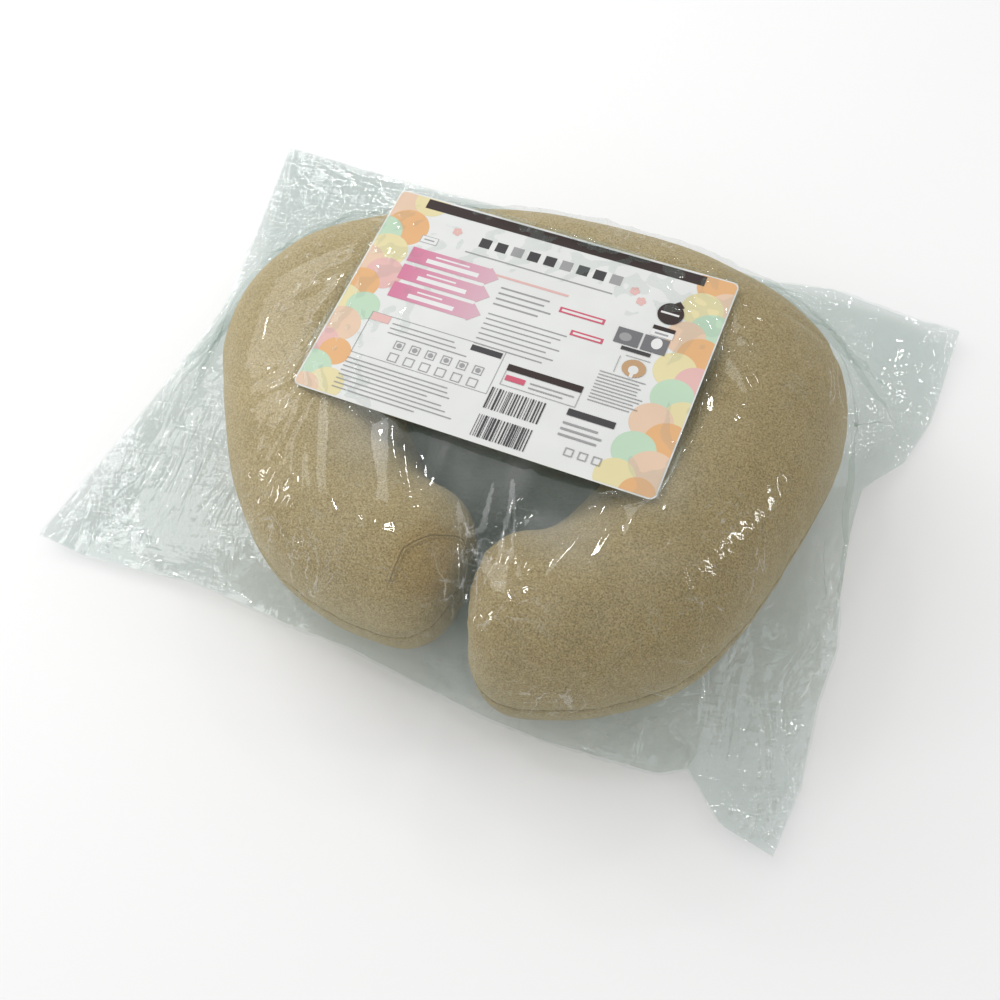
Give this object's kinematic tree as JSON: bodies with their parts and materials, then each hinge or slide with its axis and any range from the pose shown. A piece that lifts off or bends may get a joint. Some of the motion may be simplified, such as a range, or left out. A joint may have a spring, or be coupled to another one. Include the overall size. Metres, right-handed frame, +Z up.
{
  "type": "nursing pillow",
  "caption": "Crescent-shaped pile-covered nursing cushion with a zipped cover over a filled inner cushion, packed under a card in a clear film bag.",
  "frame": {"origin": "on the underside of the bag, under the middle of the waist opening, on the cushion's middle line", "axes": "+X across the cushion's width, +Y towards its closed back, +Z up out of the surface it lies on"},
  "size_m": [0.7554, 0.6122, 0.1662],
  "materials": {
    "pile_fabric": "short dense beige pile",
    "lining_fabric": "thin white non-woven casing",
    "fibre_fill": "loose white polyester fibre",
    "zip_tape": "fine woven tape",
    "zip_nylon": "moulded nylon coil",
    "zip_metal": "beige enamelled zinc",
    "label_satin": "white satin ribbon",
    "printed_card": "coated white card with printed bands",
    "clear_film": "thin clear crinkled film"
  },
  "bodies": {
    "cushion": {"cover_top_panel": "pile_fabric", "cover_bottom_panel": "pile_fabric", "zip_upper_tape": "zip_tape", "zip_lower_tape": "zip_tape", "zip_upper_teeth": "zip_nylon", "zip_lower_teeth": "zip_nylon", "zip_upper_top_stop": "zip_metal", "zip_lower_top_stop": "zip_metal", "zip_bottom_stop": "zip_metal", "care_label": "label_satin", "inner_case_top_panel": "lining_fabric", "inner_case_bottom_panel": "lining_fabric", "inner_filling": "fibre_fill", "insert_card": "printed_card", "bag_front_film": "clear_film", "bag_back_film": "clear_film"},
    "slider": {"zip_slider": "zip_metal"},
    "pull": {"zip_pull_tab": "zip_metal"}
  },
  "joints": [
    {"name": "zip_travel", "type": "hinge", "parent": "cushion", "child": "slider", "pos_m": [0, -0.2395, 0.08085], "axis": [0, 0, 1], "range_deg": [0, 33.5]},
    {"name": "pull_swing", "type": "hinge", "parent": "slider", "child": "pull", "pos_m": [0.12786, 0.18256, 0.08085], "axis": [0, 0, -1], "range_deg": [0, 178]}
  ]
}
